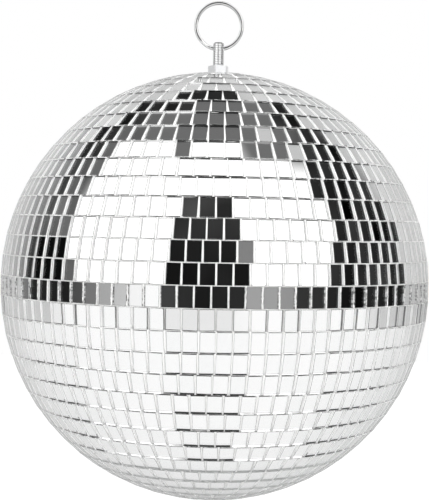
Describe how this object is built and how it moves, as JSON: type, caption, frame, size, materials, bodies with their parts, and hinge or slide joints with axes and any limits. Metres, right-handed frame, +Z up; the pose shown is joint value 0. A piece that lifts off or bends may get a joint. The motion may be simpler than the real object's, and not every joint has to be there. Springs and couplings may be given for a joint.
{
  "type": "mirror ball",
  "caption": "Round ball covered with rows of small flat mirror tiles, hung from a split ring through a threaded stud at the top, to scatter spots of light.",
  "frame": {"origin": "centre of the split ring, where the hook that carries the ball goes through", "axes": "+Z up along the ball's own axis, the ring lies in the XZ plane, the front is -Y"},
  "size_m": [0.2998, 0.2998, 0.3508],
  "materials": {
    "mirror_glass": "flat silvered glass tiles with cut edges",
    "glue": "matte white glue between the tiles",
    "core_plastic": "moulded white plastic",
    "plated_steel": "bright zinc plating",
    "ring_steel": "bright nickel plating"
  },
  "bodies": {
    "ring": {"split_ring": "ring_steel"},
    "ball": {"hanger_stud": "plated_steel", "outer_nut": "plated_steel", "outer_washer": "plated_steel", "spreader_plate": "plated_steel", "inner_washer": "plated_steel", "inner_nut": "plated_steel", "lock_nut": "plated_steel", "core_upper": "core_plastic", "core_lower": "core_plastic", "glue_bed_upper": "glue", "glue_bed_lower": "glue", "bottom_mirror": "mirror_glass", "mirror_row_01": "mirror_glass", "mirror_row_02": "mirror_glass", "mirror_row_03": "mirror_glass", "mirror_row_04": "mirror_glass", "mirror_row_05": "mirror_glass", "mirror_row_06": "mirror_glass", "mirror_row_07": "mirror_glass", "mirror_row_08": "mirror_glass", "mirror_row_09": "mirror_glass", "mirror_row_10": "mirror_glass", "mirror_row_11": "mirror_glass", "mirror_row_12": "mirror_glass", "mirror_row_13": "mirror_glass", "mirror_row_14": "mirror_glass", "mirror_row_15": "mirror_glass", "mirror_row_16": "mirror_glass", "mirror_row_17": "mirror_glass", "mirror_row_18": "mirror_glass", "mirror_row_19": "mirror_glass", "mirror_row_20": "mirror_glass", "mirror_row_21": "mirror_glass", "mirror_row_22": "mirror_glass", "mirror_row_23": "mirror_glass", "mirror_row_24": "mirror_glass", "mirror_row_25": "mirror_glass", "mirror_row_26": "mirror_glass", "mirror_row_27": "mirror_glass", "mirror_row_28": "mirror_glass", "mirror_row_29": "mirror_glass", "mirror_row_30": "mirror_glass", "mirror_row_31": "mirror_glass", "mirror_row_32": "mirror_glass", "mirror_row_33": "mirror_glass"}
  },
  "joints": [
    {"name": "ball_swing", "type": "hinge", "parent": "ring", "child": "ball", "pos_m": [0, 0, -0.016], "axis": [1, 0, 0], "range_deg": [-115, 115]}
  ]
}
